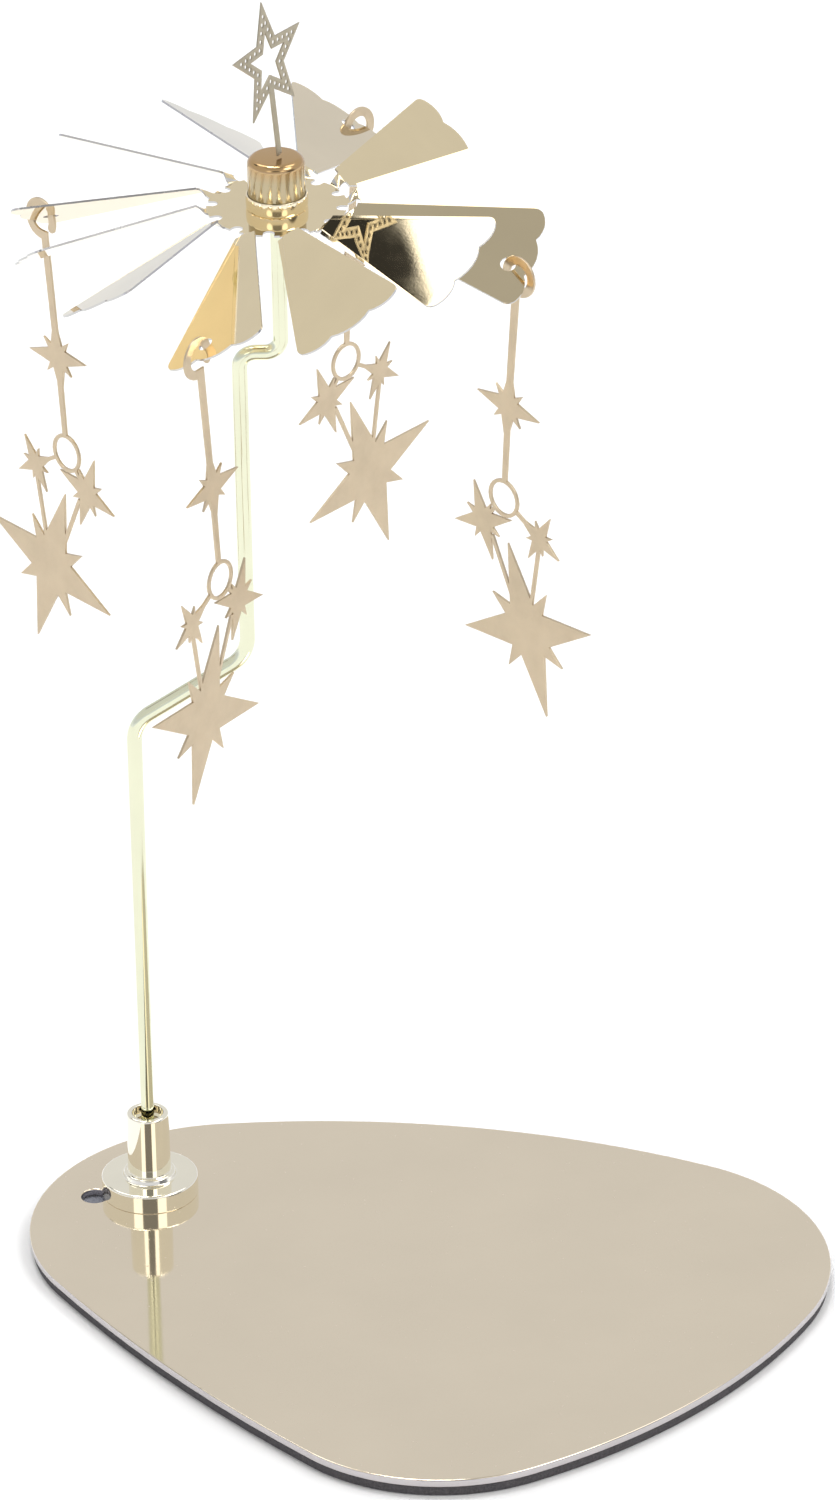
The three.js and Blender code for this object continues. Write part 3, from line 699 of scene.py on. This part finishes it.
def drawn_wire():
    """Pale polished wire with fine lines along it."""
    base = (0.79, 0.80, 0.605)
    s = Shader("drawn_wire", base, roughness=0.1, metallic=1.0)
    s.set("Base Color", s.cloudy(base, 70, (0.3, 0.7), darker=0.97, lighter=1.03))
    lines = s.lines(900, detail=3, rough=0.6, z_scale=0.03)
    s.set("Roughness", s.ramp(lines, (0.3, 0.7), (0.06, 0.14)))
    s.bump(lines, distance=0.00001, strength=0.3)
    return s.material


def etched_sheet(name, base):
    """Satin etched brass: fine grain, soft clouds and a slightly darker film in places."""
    s = Shader(name, base, roughness=0.4, metallic=1.0)
    cloud = s.noise(120, detail=4, rough=0.65)
    darker, lighter = tinted(base, 0.93), tinted(base, 1.05)
    s.set("Base Color", s.colors(cloud, (0.3, darker), (0.5, base), (0.72, lighter)))
    haze = s.noise(300, detail=4, rough=0.6)
    s.set("Roughness", s.ramp(haze, (0.3, 0.7), (0.3, 0.46)))
    grain = s.noise(6500, detail=2, rough=0.7)
    s.bump(grain, distance=0.00001, strength=0.6)
    return s.material


def foam(name, base):
    """Foam rubber: open grain in darker and lighter tones, and small pits."""
    s = Shader(name, base, roughness=0.92, metallic=0.0)
    grain = s.noise(2600, detail=4, rough=0.75)
    darker, lighter = tinted(base, 0.6), tinted(base, 1.6)
    s.set("Base Color", s.colors(grain, (0.3, darker), (0.55, base), (0.75, lighter)))
    s.set("Roughness", s.ramp(grain, (0.3, 0.7), (0.82, 0.98)))
    pits = s.spots(1500, size=0.28, softness=0.25)
    s.bump(s.math("SUBTRACT", grain, pits), distance=0.00012, strength=0.8)
    return s.material


def plain_steel():
    """Plain steel with fine turned lines."""
    base = (0.56, 0.57, 0.59)
    s = Shader("plain_steel", base, roughness=0.3, metallic=1.0)
    s.set("Base Color", s.cloudy(base, 400, (0.3, 0.7), darker=0.9, lighter=1.08))
    lines = s.lines(1500, detail=2, rough=0.6, z_scale=0.05)
    s.set("Roughness", s.ramp(lines, (0.3, 0.7), (0.22, 0.38)))
    s.bump(lines, distance=0.000008, strength=0.4)
    return s.material


looks = {
    "plate": plate_metal(),
    "foam": foam("foam", (0.084, 0.078, 0.082)),
    # Lighter copy of the foam for the pad's upward faces: painted light where the plate's hole shows
    # the pad
    "painted_light": foam("painted_light_foam", (0.27, 0.28, 0.33)),
    "side": polished("plate_side", (0.585, 0.555, 0.56), (0.16, 0.24), 0.00001, 60),
    "bright": polished("bright_metal", (0.95, 0.91, 0.78)),
    "wire": drawn_wire(),
    "cap": polished("cap_metal", (0.50, 0.42, 0.27), (0.13, 0.19), crown=(0.56, 0.37, 0.18)),
    "bead": polished("bead_metal", (0.95, 0.84, 0.62), (0.08, 0.14)),
    "blade": polished("blade_metal", (0.84, 0.715, 0.48), (0.012, 0.03), 0.00005, 26),
    "cut": polished("cut_edge", (0.60, 0.59, 0.58), (0.2, 0.3), 0.00001, 60),
    "etched": etched_sheet("etched_sheet", (0.59, 0.485, 0.345)),
    "finial": etched_sheet("finial_sheet", (0.42, 0.375, 0.285)),
    "steel": plain_steel(),
}


def paint(piece, look):
    piece.data.materials.clear()
    piece.data.materials.append(looks[look])


def paint_where(piece, look, lowest, highest):
    """A second material on the faces whose normal's height lies between two values."""
    piece.data.materials.append(looks[look])
    for face in piece.data.polygons:
        if lowest < face.normal.z < highest:
            face.material_index = 1


# Plate and pad
shift = Matrix.Translation(vec(POST_X, 0))
plate_mesh = extruded(
    "plate",
    [plate_outline(0), circle(*PLATE_HOLE), circle(0, 0, SCREW_HOLE)],
    PAD_THICKNESS,
    PLATE_THICKNESS,
    PLATE_EDGE,
    PLATE_EDGE_STEPS,
)
plate_mesh.transform(shift)
plate = add_piece("plate", plate_mesh, "base", "base_plate", "plate")
paint_where(plate, "side", -UPRIGHT, UPRIGHT)

pad_mesh = extruded(
    "pad",
    [plate_outline(PAD_INSET), circle(0, 0, WASHER_HOLE)],
    0,
    PAD_THICKNESS,
    PAD_EDGE,
    PAD_EDGE_STEPS,
)
pad_mesh.transform(shift)
pad = add_piece("pad", pad_mesh, "base", "base_pad", "foam")
# The pad's upward faces, seen through the plate's hole, get the lighter copy of the foam: painted light
paint_where(pad, "painted_light", LEVEL, math.inf)

# Post and its bush
post = turned("post", POST_OUTLINE, POST_X, PLATE_TOP)
add_piece("post", post, "base", "hub_socket", "bright")
bush = turned("bush", BUSH_OUTLINE, POST_X, PLATE_TOP)
add_piece("bush", bush, "base", "rod_bush", "cap")

# Rod
rod_corners = [
    Vector((POST_X, 0, ROD_BOTTOM)),
    Vector((POST_X, 0, ELBOW_Z)),
    Vector((POST_X + ELBOW_SHIFT, 0, ELBOW_Z + ELBOW_RISE)),
    Vector((POST_X + ELBOW_SHIFT, 0, JOG_Z)),
    Vector((0, 0, JOG_Z)),
    Vector((0, 0, ROD_TOP)),
]
rod_path = bent_path(rod_corners, [ELBOW_RADIUS, ELBOW_RADIUS, JOG_RADIUS, JOG_RADIUS])
rod = tube("rod", rod_path, ROD_RADIUS, ROD_END_EDGE)
add_piece("rod", rod, "rod", "bent_rod", "wire")

# Cap and bead
cap = turned("cap", CAP_OUTLINE, 0, ROTOR_Z)
add_piece("cap", cap, "spinner", "rotor_cap", "cap")
bead_outline = [(BEAD_BORE, BEAD_MIDDLE - BEAD_HALF_HEIGHT, 0)]
for k in range(BEAD_STEPS + 1):
    angle = math.pi * (k / BEAD_STEPS - 0.5)
    bulge = BEAD_HALF_BULGE * (1 + math.cos(angle))
    rise = BEAD_HALF_HEIGHT * math.sin(angle)
    bead_outline.append((BEAD_BORE + bulge, BEAD_MIDDLE + rise, 0))
bead_outline.append((BEAD_BORE, BEAD_MIDDLE + BEAD_HALF_HEIGHT, 0))
bead = turned("bead", bead_outline, 0, ROTOR_Z)
add_piece("bead", bead, "spinner", "cap_bead", "bead")

# The rotor sheet keeps its solid, the finial and the pendants are cut again with rounded edges
rotor_mesh = copied("rotor_sheet", "rotor")
rotor = add_piece("rotor_sheet", rotor_mesh, "spinner", "rotor", "blade")
paint_where(rotor, "cut", -ON_EDGE, ON_EDGE)
finial = cut_sheet("finial", "star_finial")
add_piece("finial", finial, "spinner", "star_finial", "finial")
for i in range(1, PENDANTS + 1):
    stars = cut_sheet(f"stars_{i}", f"pendant_{i}")
    add_piece(f"stars_{i}", stars, f"hanger_{i}", f"pendant_{i}", "etched")

# Small pieces that hardly show keep their solids
for name in ("hub_washer", "hub_screw", "pivot_needle", "retaining_ring", "pivot_bearing"):
    paint(nodes[name], "steel")

# Floor
bpy.ops.mesh.primitive_plane_add(size=FLOOR_SIZE, location=(0, 0, FLOOR_Z))
floor = bpy.context.object
floor.name = "floor"
ground = Shader("floor", (0.93, 0.93, 0.93), roughness=0.9, metallic=0.0)
clouds = ground.noise(30, detail=3, rough=0.6)
near = ground.colors(clouds, *zip(FLOOR_CLOUDS, FLOOR_NEAR))
far = ground.colors(clouds, *zip(FLOOR_CLOUDS, FLOOR_FAR))
fading = ground.smooth(ground.coordinate(ground.coordinates, "Y"), FLOOR_FADE)
ground.set("Base Color", ground.mixed(fading, near, far))
floor.data.materials.append(ground.material)

# Surroundings: a pale studio, brightest below the horizon, with patches of light and dark that the
# polished metal mirrors
studio = Surroundings("studio")
height = studio.facing((0, 0, 1))
light = studio.smooth(height, HORIZON, BELOW_AND_ABOVE)
for patch in PATCHES:
    light = studio.math("ADD", light, studio.patch(*patch))
# The plate throws the dark bar into the post and its flange
bar = studio.math("MULTIPLY", studio.patch(*BAR), studio.smooth(height, BAR_FOOT))
light = studio.math("ADD", light, bar)
background = studio.tree.nodes["Background"]
studio.feed(background.inputs["Strength"], studio.math("MAXIMUM", light, DARKEST))
tint = studio.mixed(studio.smooth(height, TINT_TOP), TINT, WHITE)
studio.feed(background.inputs["Color"], tint)

# Camera
camera_data = bpy.data.cameras.new("camera")
camera_data.lens = LENS
camera_data.sensor_width = SENSOR
camera_data.clip_end = CLIP_END
camera = bpy.data.objects.new("camera", camera_data)
bpy.context.scene.collection.objects.link(camera)
aim = Matrix.Rotation(QUARTER - CAMERA_DOWN, 3, "X") @ Matrix.Rotation(CAMERA_ROLL, 3, "Z")
camera.matrix_world = Matrix.Translation(vec(*CAMERA_AT)) @ aim.to_4x4()
bpy.context.scene.camera = camera
bpy.context.scene.view_settings.view_transform = "Standard"
